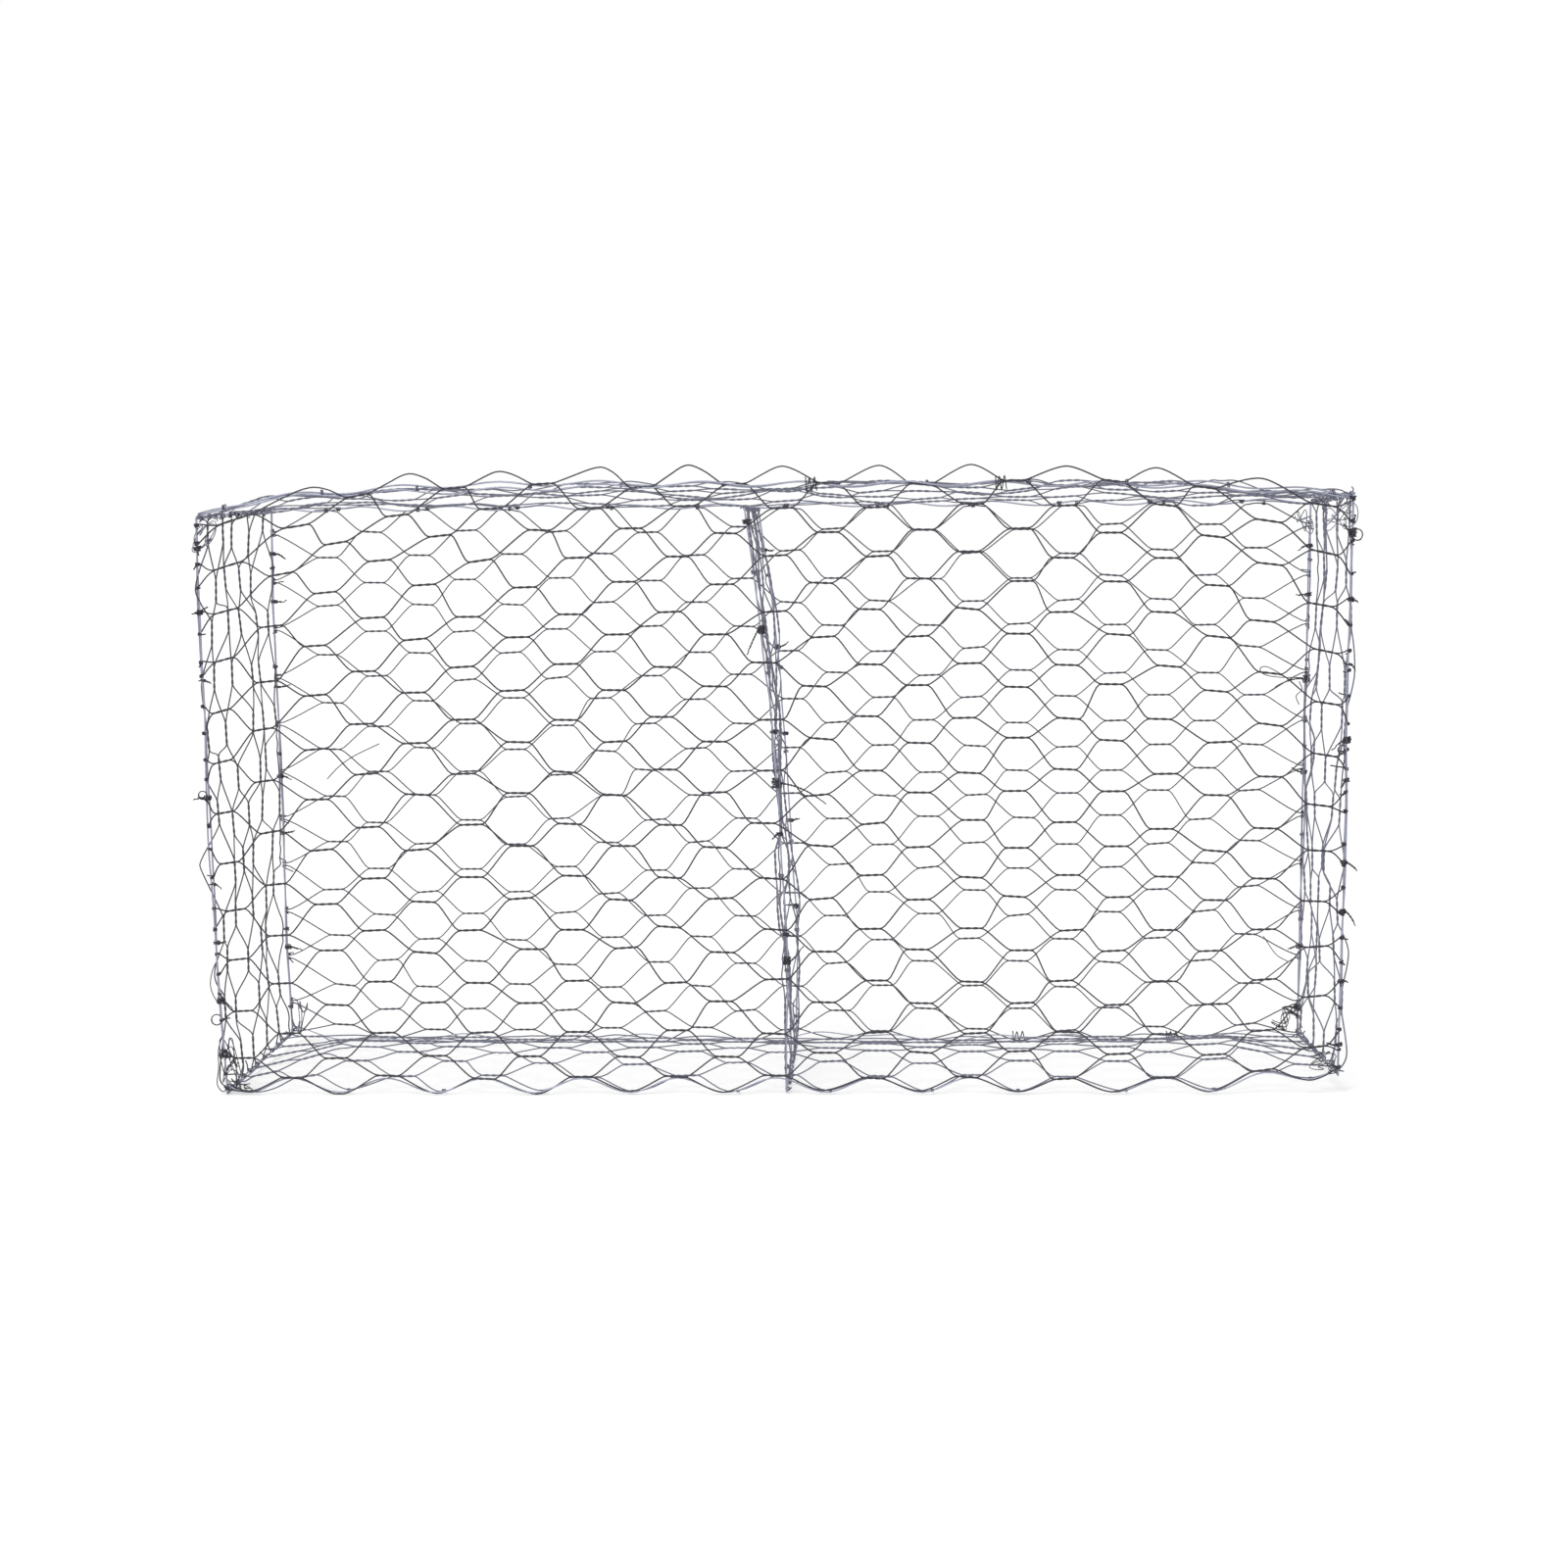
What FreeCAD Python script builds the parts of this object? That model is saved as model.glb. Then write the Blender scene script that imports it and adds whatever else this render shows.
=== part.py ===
import FreeCAD, Part
import os
from math import atan, hypot, tan

# Wire gabion basket, 2 m long, 0.5 m deep and about 1 m high, standing on its base.
# X runs along the length, Y from front to back and Z up. The origin is the middle of
# the base, on the floor. The front faces -Y and the lid turns on its rear top wire.
#
# Every panel is hexagonal double twist mesh. A cell has two twists, where two wires
# are wound round each other, and four single strands that slant between them. The
# cells are drawn larger than the real 80 mm ones, with strands as wide as the real
# wire. The last wire of each panel runs in loops past its last twists.

doc = FreeCAD.newDocument("gabion_basket")
sheet = doc.addObject("Spreadsheet::Sheet", "sizes")

DRIVING_SIZES = (
    ("length", 2000.0, "outside, along X"),
    ("depth", 500.0, "outside, front sheet to rear sheet"),
    ("corner_height", 1043.0, "top of the end panels, under the lid"),
    ("crown_rise", 71.0, "how far the front sheet's top bows up above the corners"),
    ("edge_wire", 3.4, "diameter of the straight wires at the panel edges"),
    ("wire_sides", 12, "flats round a straight wire"),
    ("mesh_depth", 3.4, "thickness of the woven mesh"),
    ("strand_width", 3.0, "single slanted strand"),
    ("twist_width", 5.6, "two strands wound together"),
    ("long_twist", 78.0, "length of a twist in the long sheets"),
    ("end_twist", 78.0, "length of a twist in the end panels and the divider"),
    ("loop_rise", 29.0, "how far the edge loops reach past the last twists"),
    ("loop_half", 34.0, "half the width of a loop at its tip"),
    ("lace_wire", 2.2, "thickness of the tie wire"),
    ("seat_gap", 0.3, "room between pieces that rest on or hold each other"),
    ("hinge_clear", 12.0, "where the lid's side wires stop short of the hinge wire"),
    ("long_columns", 12, "mesh columns along the length"),
    ("face_rows", 6, "mesh rows up the front and rear sheets"),
    ("flat_rows", 3, "mesh rows across the base and the lid"),
    ("end_columns", 6, "mesh columns up the end panels"),
    ("end_rows", 3, "mesh rows across the end panels"),
)

for row, (alias, number, note) in enumerate(DRIVING_SIZES, start=1):
    sheet.set("A%d" % row, alias)
    sheet.set("B%d" % row, str(number))
    sheet.set("C%d" % row, note)
    sheet.setAlias("B%d" % row, alias)
doc.recompute()

length = float(sheet.length)
depth = float(sheet.depth)
corner_height = float(sheet.corner_height)
crown_rise = float(sheet.crown_rise)
edge_wire = float(sheet.edge_wire)
mesh_depth = float(sheet.mesh_depth)
strand_width = float(sheet.strand_width)
twist_width = float(sheet.twist_width)
long_twist = float(sheet.long_twist)
end_twist = float(sheet.end_twist)
loop_rise = float(sheet.loop_rise)
loop_half = float(sheet.loop_half)
lace_wire = float(sheet.lace_wire)
seat_gap = float(sheet.seat_gap)
long_columns = int(sheet.long_columns)
face_rows = int(sheet.face_rows)
flat_rows = int(sheet.flat_rows)
end_columns = int(sheet.end_columns)
end_rows = int(sheet.end_rows)

# The front sheet's top bows up between the corners and falls off steeply near them.
CROWN_POWER = 6

# The half row of the long sheets' mesh that holds the divider's lowest tie.
LOWEST_TIE = 3

edge_radius = edge_wire / 2
half_length = length / 2
half_depth = depth / 2
side_x = half_length - edge_radius
mesh_x = half_length - edge_wire - seat_gap
sheet_y = half_depth - mesh_depth / 2
rail_y = half_depth - mesh_depth - seat_gap - edge_radius
mesh_y = rail_y - edge_radius - seat_gap
end_low = edge_wire + seat_gap
end_rail_low = end_low + edge_radius
end_rail_high = corner_height - edge_radius
end_mesh_low = end_low + edge_wire + seat_gap
end_mesh_high = corner_height - edge_wire - seat_gap
lid_z = corner_height + seat_gap + edge_radius
hinge_y = half_depth - edge_radius
lid_back = hinge_y - edge_radius - seat_gap
divider_low = end_mesh_low
divider_high = end_mesh_high - edge_wire - seat_gap

# The divider's mesh leaves its upright wires free for the ties that go round them.
divider_y = mesh_y - lace_wire - seat_gap

pieces = []


def keep(obj, label):
    """Give a finished piece its own name and list it for writing."""
    obj.Label = label
    pieces.append(obj)
    return obj


def turned(axis, angle):
    """A rotation about one of the main axes."""
    return FreeCAD.Rotation(FreeCAD.Vector(*axis), angle)


ALONG_X = turned((0, 1, 0), 90)
ALONG_Y = turned((1, 0, 0), -90)
LEVEL = turned((0, 0, 1), 0)
UPRIGHT = turned((1, 0, 0), 90)
ENDWISE = turned((0, 1, 0), -90)
SLANTED = turned((0, 1, 0), 45)
ACROSS = turned((1, 1, 1), 120)


def place(base, rotation):
    return FreeCAD.Placement(FreeCAD.Vector(*base), rotation)


def straight_wire(label, rotation, start, reach):
    """A straight edge wire from its start point, its length bound to the sheet."""
    wire = doc.addObject("Part::Prism", label)
    wire.setExpression("Polygon", "sizes.wire_sides")
    wire.setExpression("Circumradius", "sizes.edge_wire / 2")
    wire.setExpression("Height", reach)
    wire.Placement = place(start, rotation)
    return keep(wire, label)


def inset(corners, margins):
    """Move each side of a closed counter-clockwise outline inwards by its margin."""
    sides = []
    for index, (x0, y0) in enumerate(corners):
        x1, y1 = corners[(index + 1) % len(corners)]
        run = hypot(x1 - x0, y1 - y0)
        along = ((x1 - x0) / run, (y1 - y0) / run)
        shift = (-along[1] * margins[index], along[0] * margins[index])
        sides.append((x0 + shift[0], y0 + shift[1], along[0], along[1]))
    moved = []
    for index, (x1, y1, a1, b1) in enumerate(sides):
        x0, y0, a0, b0 = sides[index - 1]
        cross = a0 * b1 - b0 * a1
        step = ((x1 - x0) * b1 - (y1 - y0) * a1) / cross
        moved.append((x0 + step * a0, y0 + step * b0))
    return moved


class Weave:
    """The layout of one mesh panel, u along its twists and v across them."""

    def __init__(self, reach, low, high, columns, rows, twist, first_loop, rounded):
        self.reach = reach
        self.low = low
        self.high = high
        self.columns = columns
        self.rows = rows
        self.twist = twist
        self.first_loop = first_loop
        self.rounded = rounded
        self.pitch = reach / columns
        self.arm = self.pitch - twist / 2
        slope = loop_rise / (self.arm - loop_half)
        self.round_drop = loop_half * tan(atan(slope) / 2) if rounded else 0.0

    def is_loop(self, column):
        return (column + self.first_loop) % 2 == 0

    def level(self, u, step):
        """Height of the twists, counted in half rows from the lowest ones."""
        first = self.low(u) + strand_width / 2 + loop_rise
        last = self.high(u) - strand_width / 2 - loop_rise
        return first + (last - first) * step / (2 * self.rows)

    def tip(self, u, top):
        """Middle of the strand at the ends of a loop's rounded tip."""
        if top:
            return self.high(u) - strand_width / 2 - self.round_drop
        return self.low(u) + strand_width / 2 + self.round_drop

    def cell(self, u, step):
        """A whole six-sided cell."""
        half = self.twist / 2
        arm = self.arm
        corners = [
            (u - half, self.level(u - half, step - 1)),
            (u + half, self.level(u + half, step - 1)),
            (u + arm, self.level(u + arm, step)),
            (u + half, self.level(u + half, step + 1)),
            (u - half, self.level(u - half, step + 1)),
            (u - arm, self.level(u - arm, step)),
        ]
        wide = twist_width / 2
        thin = strand_width / 2
        return inset(corners, [wide, thin, thin, wide, thin, thin]), None

    def loop_cell(self, u, top):
        """The flattened cell inside an edge loop."""
        half = self.twist / 2
        arm = self.arm
        step = 2 * self.rows if top else 0
        inner = step - 1 if top else 1
        tip = self.tip(u, top)
        corners = [
            (u - loop_half, tip),
            (u + loop_half, tip),
            (u + arm, self.level(u + arm, step)),
            (u + half, self.level(u + half, inner)),
            (u - half, self.level(u - half, inner)),
            (u - arm, self.level(u - arm, step)),
        ]
        wide = twist_width / 2
        thin = strand_width / 2
        if top:
            corners = [corners[1], corners[0]] + corners[:1:-1]
        bulge = self.round_drop if top else -self.round_drop
        return inset(corners, [thin, thin, thin, wide, thin, thin]), bulge

    def notch(self, u, top):
        """The open bay between two edge loops, past the panel's last twist."""
        half = self.twist / 2
        side = self.pitch - loop_half
        step = 2 * self.rows if top else 0
        past = loop_rise if top else -loop_rise
        left = self.tip(u - self.pitch, top)
        right = self.tip(u + self.pitch, top)
        corners = [
            (u - half, self.level(u - half, step)),
            (u + half, self.level(u + half, step)),
            (u + side, right),
            (u + side, right + past),
            (u - side, left + past),
            (u - side, left),
        ]
        margins = [twist_width / 2, strand_width / 2, 0.0, 0.0, 0.0, strand_width / 2]
        if not top:
            corners = corners[::-1]
            margins = margins[-2::-1] + margins[-1:]
        return inset(corners, margins), None

    def gaps(self):
        """Every opening of the panel, as an outline and the bulge of its first side."""
        found = []
        for column in range(self.columns + 1):
            u = column * self.pitch
            start = 2 if self.is_loop(column) else 1
            for step in range(start, 2 * self.rows, 2):
                found.append(self.cell(u, step))
            for top in (False, True):
                if self.is_loop(column):
                    found.append(self.loop_cell(u, top))
                else:
                    found.append(self.notch(u, top))
        return found

    def edge_points(self, top):
        """The panel's outer edge along its loops, from low u to high u."""
        points = []
        for column in range(self.columns + 1):
            if not self.is_loop(column):
                continue
            u = column * self.pitch
            edge = self.high(u) if top else self.low(u)
            drop = -self.round_drop if top else self.round_drop
            left = max(u - loop_half, 0.0)
            right = min(u + loop_half, self.reach)
            points.append((left, edge + drop * (left < u)))
            points.append((u, edge))
            points.append((right, edge + drop * (right > u)))
        return points


def flat(number):
    """A straight panel edge at one height."""
    return lambda u: number


def crown(u):
    """Top of the front sheet's loops, by the distance from its left end."""
    share = abs(u / mesh_x - 1)
    return corner_height + crown_rise * (1 - share ** CROWN_POWER)


def vector(point):
    return FreeCAD.Vector(point[0], point[1], 0)


def line(start, end):
    return Part.LineSegment(vector(start), vector(end))


def arc(start, middle, end):
    return Part.Arc(vector(start), vector(middle), vector(end))


def outline(weave):
    """The closed edges of a panel before its gaps are cut."""
    if not weave.rounded:
        top = weave.high(0.0)
        corners = [(0.0, 0.0), (weave.reach, 0.0), (weave.reach, top), (0.0, top)]
        return [line(corners[index - 1], corner) for index, corner in enumerate(corners)]
    low = weave.edge_points(False)
    high = weave.edge_points(True)
    edges = [line(low[0], high[0]), line(low[-1], high[-1])]
    for border in (low, high):
        for index in range(0, len(border), 3):
            start, middle, end = border[index:index + 3]
            if start == middle or middle == end:
                edges.append(line(start, end))
            else:
                edges.append(arc(start, middle, end))
            if index + 3 < len(border):
                edges.append(line(end, border[index + 3]))
    return edges


def gap_face(corners, bulge):
    """One gap of the mesh, its first side bowed where it lies at a loop's tip."""
    edges = []
    for index, start in enumerate(corners):
        end = corners[(index + 1) % len(corners)]
        if index == 0 and bulge:
            middle = ((start[0] + end[0]) / 2, start[1] + bulge)
            edges.append(arc(start, middle, end).toShape())
        else:
            edges.append(line(start, end).toShape())
    return Part.Face(Part.Wire(edges))


def mesh_panel(label, weave, placement):
    """A panel: the flat layout of its strands, drawn out to the mesh's thickness."""
    border = [edge.toShape() for edge in outline(weave)]
    plate = Part.Face(Part.Wire(Part.__sortEdges__(border)))
    gaps = [gap_face(corners, bulge) for corners, bulge in weave.gaps()]
    woven = plate.cut(Part.makeCompound(gaps))
    layout = doc.addObject("Part::Feature", label + "_layout")
    layout.Shape = max(woven.Faces, key=lambda face: face.Area)
    panel = doc.addObject("Part::Extrusion", label)
    panel.Base = layout
    panel.DirMode = "Custom"
    panel.Dir = FreeCAD.Vector(0, 0, 1)
    panel.Solid = True
    panel.setExpression("LengthFwd", "sizes.mesh_depth")
    panel.Placement = placement
    return keep(panel, label)


# Clear lengths between the pieces, as the sheet works them out.
WIRE_STEP = "(sizes.edge_wire + sizes.seat_gap)"
SHEET_STEP = "(sizes.mesh_depth + sizes.seat_gap)"
BETWEEN_SIDES = "sizes.length - 2 * " + WIRE_STEP
BETWEEN_SHEETS = "sizes.depth - 2 * " + SHEET_STEP
BETWEEN_RAILS = BETWEEN_SHEETS + " - 2 * " + WIRE_STEP
END_HEIGHT = "sizes.corner_height - " + WIRE_STEP
DIVIDER_POST = "sizes.corner_height - 2 * " + WIRE_STEP
LID_SIDE = "sizes.depth - " + SHEET_STEP + " - sizes.edge_wire / 2 - sizes.hinge_clear"


def long_sheets():
    """The front, rear and base sheets, with twists along the length."""
    front = Weave(2 * mesh_x, flat(0.0), crown, long_columns, face_rows, long_twist, 0, True)
    mesh_panel("front_panel", front, place((-mesh_x, mesh_depth - half_depth, 0), UPRIGHT))
    rear = Weave(2 * mesh_x, flat(0.0), flat(corner_height), long_columns, face_rows,
                 long_twist, 0, False)
    mesh_panel("back_panel", rear, place((-mesh_x, half_depth, 0), UPRIGHT))
    base = Weave(2 * mesh_x, flat(0.0), flat(2 * mesh_y), long_columns, flat_rows,
                 long_twist, 0, False)
    mesh_panel("base_panel", base, place((-mesh_x, -mesh_y, 0), LEVEL))
    return front, rear


def upright_panels():
    """The two end panels and the divider, with their twists upright."""
    ends = Weave(end_mesh_high - end_mesh_low, flat(0.0), flat(2 * mesh_y), end_columns,
                 end_rows, end_twist, 0, False)
    middle_x = mesh_depth / 2
    mesh_panel("left_end_panel", ends, place((middle_x - side_x, -mesh_y, end_mesh_low), ENDWISE))
    mesh_panel("right_end_panel", ends, place((middle_x + side_x, -mesh_y, end_mesh_low), ENDWISE))
    divider = Weave(divider_high - divider_low, flat(0.0), flat(2 * divider_y), end_columns,
                    end_rows, end_twist, 0, False)
    mesh_panel("diaphragm_panel", divider, place((middle_x, -divider_y, divider_low), ENDWISE))
    return ends


def lid():
    """The lid, a flat panel whose rear loops take hold of the hinge wire."""
    weave = Weave(2 * mesh_x, flat(0.0), flat(lid_back + mesh_y), long_columns, flat_rows,
                  long_twist, 1, False)
    mesh_panel("lid_panel", weave, place((-mesh_x, -mesh_y, lid_z - mesh_depth / 2), LEVEL))
    straight_wire("lid_front_wire", ALONG_X, (-mesh_x, -rail_y, lid_z), BETWEEN_SIDES)
    for side, x in (("left", -side_x), ("right", side_x)):
        straight_wire("lid_%s_wire" % side, ALONG_Y, (x, -rail_y - edge_radius, lid_z), LID_SIDE)
    return weave


def length_wires():
    """The wires that run the whole length, along the four long edges."""
    straight_wire("hinge_wire", ALONG_X, (-half_length, hinge_y, lid_z), "sizes.length")
    straight_wire("front_top_wire", ALONG_X, (-mesh_x, -rail_y, end_rail_high), BETWEEN_SIDES)
    straight_wire("front_bottom_wire", ALONG_X, (-mesh_x, -rail_y, edge_radius), BETWEEN_SIDES)
    straight_wire("back_bottom_wire", ALONG_X, (-mesh_x, rail_y, edge_radius), BETWEEN_SIDES)


def end_wires(side, x):
    """The wires round one end: the sheet's own edge wires and the end panel's."""
    for face, sheet_at, rail_at in (("front", -sheet_y, -rail_y), ("back", sheet_y, rail_y)):
        straight_wire("%s_%s_corner_wire" % (side, face), LEVEL, (x, sheet_at, 0),
                      "sizes.corner_height")
        straight_wire("%s_end_%s_wire" % (side, face), LEVEL, (x, rail_at, end_low), END_HEIGHT)
    straight_wire("base_%s_wire" % side, ALONG_Y, (x, -rail_y - edge_radius, edge_radius),
                  BETWEEN_SHEETS)
    straight_wire("%s_end_bottom_wire" % side, ALONG_Y, (x, -mesh_y, end_rail_low), BETWEEN_RAILS)
    straight_wire("%s_end_top_wire" % side, ALONG_Y, (x, -mesh_y, end_rail_high), BETWEEN_RAILS)


def divider_wires():
    """The four wires round the divider that parts the basket into two cells."""
    for face, y in (("front", -rail_y), ("back", rail_y)):
        straight_wire("diaphragm_%s_wire" % face, LEVEL, (0, y, end_low), DIVIDER_POST)
    top_z = divider_high + seat_gap + edge_radius
    straight_wire("diaphragm_bottom_wire", ALONG_Y, (0, -mesh_y, end_rail_low), BETWEEN_RAILS)
    straight_wire("diaphragm_top_wire", ALONG_Y, (0, -mesh_y, top_z), BETWEEN_RAILS)


def link(half_wide, half_tall, cut):
    """A closed loop of tie wire with cut-off corners, level and centred on the origin."""
    rings = []
    for grow in (lace_wire, 0.0):
        wide = half_wide + grow
        tall = half_tall + grow
        slant = cut + grow / 2
        corners = [
            (wide, slant - tall), (wide, tall - slant), (wide - slant, tall),
            (slant - wide, tall), (-wide, tall - slant), (-wide, slant - tall),
            (slant - wide, -tall), (wide - slant, -tall),
        ]
        points = [FreeCAD.Vector(x, y, -lace_wire / 2) for x, y in corners]
        rings.append(Part.makePolygon(points + points[:1]))
    face = Part.makeFace(rings, "Part::FaceMakerBullseye")
    return face.extrude(FreeCAD.Vector(0, 0, lace_wire))


def tie_row(label, shape, spots, rotation):
    """A row of equal ties that hold one edge, kept as separate solids."""
    ties = []
    for spot in spots:
        tie = shape.copy()
        tie.Placement = place(spot, rotation)
        ties.append(tie)
    feature = doc.addObject("Part::Feature", label)
    feature.Shape = Part.makeCompound(ties)
    return keep(feature, label)


def corner_ties(weave):
    """Ties round the sheet's edge wire and the end panel's, clear of the loops' tips."""
    heights = [end_mesh_low + weave.pitch * column for column in range(weave.columns + 1)
               if not weave.is_loop(column)]
    pair_y = (sheet_y + rail_y) / 2
    pair_half = (sheet_y - rail_y) / 2 + edge_radius
    shape = link(edge_radius + seat_gap, pair_half + seat_gap, edge_radius / 2)
    for side, x in (("left", -side_x), ("right", side_x)):
        for face, y in (("front", -pair_y), ("back", pair_y)):
            spots = [(x, y, z) for z in heights]
            tie_row("%s_%s_ties" % (side, face), shape, spots, LEVEL)


def divider_ties(front, rear):
    """Ties that cross a twist of each long sheet and the divider's edge wire."""
    pair_half = (half_depth - rail_y + edge_radius) / 2
    pair_y = half_depth - pair_half
    across = twist_width / 2 * hypot(1, 1) + lace_wire / 2
    shape = link(across + seat_gap, pair_half + seat_gap, seat_gap)
    for face, weave, y in (("front", front, -pair_y), ("back", rear, pair_y)):
        middle_twists = range(LOWEST_TIE, 2 * weave.rows - 1, 2)
        spots = [(0, y, weave.level(mesh_x, step)) for step in middle_twists]
        tie_row("diaphragm_%s_ties" % face, shape, spots, SLANTED)


def hinge_loops(weave):
    """Loops round the hinge wire and the strand at the tip of each rear loop of the lid."""
    grip_half = (2 * edge_radius + seat_gap + strand_width) / 2
    shape = link(grip_half + seat_gap, edge_radius + seat_gap, seat_gap)
    spots = [(weave.pitch * column - mesh_x, hinge_y + edge_radius - grip_half, lid_z)
             for column in range(weave.columns + 1) if weave.is_loop(column)]
    tie_row("lid_hinge_loops", shape, spots, ACROSS)


front_weave, rear_weave = long_sheets()
end_weave = upright_panels()
lid_weave = lid()
length_wires()
end_wires("left", -side_x)
end_wires("right", side_x)
divider_wires()
corner_ties(end_weave)
divider_ties(front_weave, rear_weave)
hinge_loops(lid_weave)
doc.recompute()

for obj in doc.Objects:
    if "Invalid" in obj.State or "Error" in obj.State:
        raise RuntimeError("%s failed to build: %s" % (obj.Label, obj.State))
for piece in pieces:
    if piece.Shape.isNull() or not piece.Shape.isValid():
        raise RuntimeError("%s has no valid shape" % piece.Label)

os.makedirs("parts", exist_ok=True)
for piece in pieces:
    piece.Shape.exportStep("parts/%s.step" % piece.Label)
    print("%-24s %3d solids %10.0f mm3" % (piece.Label, len(piece.Shape.Solids), piece.Shape.Volume))
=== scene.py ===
"""A galvanised wire gabion basket: woven mesh sheets, bent edge wires and hand-made ties."""

import math

import bpy
import numpy as np
from mathutils import Matrix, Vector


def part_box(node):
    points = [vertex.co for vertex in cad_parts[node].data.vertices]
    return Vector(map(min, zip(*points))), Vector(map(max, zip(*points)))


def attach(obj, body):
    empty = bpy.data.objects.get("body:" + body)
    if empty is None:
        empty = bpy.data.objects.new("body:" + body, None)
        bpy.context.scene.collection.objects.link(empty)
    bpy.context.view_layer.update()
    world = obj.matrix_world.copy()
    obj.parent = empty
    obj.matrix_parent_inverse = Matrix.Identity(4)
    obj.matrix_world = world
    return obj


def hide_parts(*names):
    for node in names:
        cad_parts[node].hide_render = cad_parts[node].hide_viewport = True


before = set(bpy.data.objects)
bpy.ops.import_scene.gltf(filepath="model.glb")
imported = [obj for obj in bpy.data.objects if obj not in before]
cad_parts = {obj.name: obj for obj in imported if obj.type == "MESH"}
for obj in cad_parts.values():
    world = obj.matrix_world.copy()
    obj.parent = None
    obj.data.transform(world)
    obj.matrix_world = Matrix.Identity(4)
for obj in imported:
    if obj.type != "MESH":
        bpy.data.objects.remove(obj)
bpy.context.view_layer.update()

TURN = 2 * math.pi


def middle(node):
    """The middle of a node of the frame, to a tenth of a millimetre."""
    low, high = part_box(node)
    return [round((a + b) / 2, 4) for a, b in zip(low, high)]


def high_corner(node):
    """The high corner of a node of the frame, to a tenth of a millimetre."""
    return [round(a, 4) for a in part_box(node)[1]]


# Where the frame has its wires and sheets, in metres. SIDE is the x of the side edges,
# MESH_END the x where the long sheets end. SHEET is the y of the front and rear sheets,
# RAIL that of the wires just inside them. The rest are heights: of the closed lid, the
# tops of the corners, the base sheet, and the low and high wires of ends and divider.
SIDE = middle("right_front_corner_wire")[0]
MESH_END = high_corner("front_panel")[0]
SHEET = middle("hinge_wire")[1]
LID = middle("hinge_wire")[2]
RAIL = middle("right_end_back_wire")[1]
TALL = high_corner("front_top_wire")[2]
FLAT = middle("base_panel")[2]
END_LOW = middle("right_end_bottom_wire")[2]
END_HIGH = middle("right_end_top_wire")[2]
DIVIDER_HIGH = middle("diaphragm_top_wire")[2]

# The height of the front sheet's highest loops, and how far the lid bows up with them.
CROWN = 1.112
BOW = 0.036

# Radii of the wires, in metres. EDGE is that of the edge wires in the frame, STRAIGHT
# what they are drawn with.
MESH = 0.00135
FRONT_MESH = 0.00140
THIN_MESH = 0.00125
LID_MESH = 0.00120
EDGE = 0.0017
STRAIGHT = 0.0016
LACE = 0.0011
CRUMPLED = 0.0009
LOOSE_END = 0.0010

# The weave. STRAND_OFF is how far a twist's two wires lie from its middle line, PITCH
# and STEP are the distances from one twist to the next along and across the twists.
STRAND_OFF = 0.0010
TWIST = 0.041
PITCH = 0.0868
STEP = 0.0466

# How strongly a wire keeps its direction where it leaves a loop, a twist, a twist on
# an edge wire, a turned end and a turned end in a pair. Where it leaves a twist, the
# CROSS values do the same across the sheet.
LOOP_LEAD = 0.060
SLANT_LEAD = 0.027
SLANT_CROSS = 0.006
FLAT_LEAD = 0.020
FLAT_CROSS = 0.004
END_LEAD = 0.010
PAIR_LEAD = 0.050

# How much the twists are tilted, in radians, and how far single wires are wound aside.
TILT_SPREAD = 0.035
END_SPREAD = 0.005

# Points along a bend, along the wide bend beside an open loop and along a twist, and
# those of one turn round an edge wire and round a bundle.
BEND_STEPS = 6
LOOP_STEPS = 9
TWIST_POINTS = 10
EDGE_TURN_POINTS = 9
TIE_TURN_POINTS = 12

# Camera: it stands a little to the right of the middle and looks slightly down.
EYE = (0.20, -5.12, 1.022)
LOOK_LEFT = math.radians(2.25)
LOOK_DOWN = math.radians(5.47)
ROLL = math.radians(0.47)
LENS = 63.9
camera = bpy.data.objects.new("camera", bpy.data.cameras.new("camera"))
bpy.context.scene.collection.objects.link(camera)
camera.data.sensor_width = 36.0
camera.data.lens = LENS
camera.data.clip_end = 200.0
camera.matrix_world = (
    Matrix.Translation(EYE)
    @ Matrix.Rotation(LOOK_LEFT, 4, "Z")
    @ Matrix.Rotation(math.pi / 2 - LOOK_DOWN, 4, "X")
    @ Matrix.Rotation(-ROLL, 4, "Z")
)
bpy.context.scene.camera = camera


# Materials. A coating's colour runs between DARKEST and LIGHTEST times its own value,
# and its roughness from SMOOTHER below to ROUGHER above its own.
METAL = 0.75
SPANGLE_SCALE = 260.0
WEATHER_SCALE = 14.0
SPANGLE_SHARE = 0.45
DARKEST = 0.7
LIGHTEST = 1.35
SMOOTHER = 0.1
ROUGHER = 0.15


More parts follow.
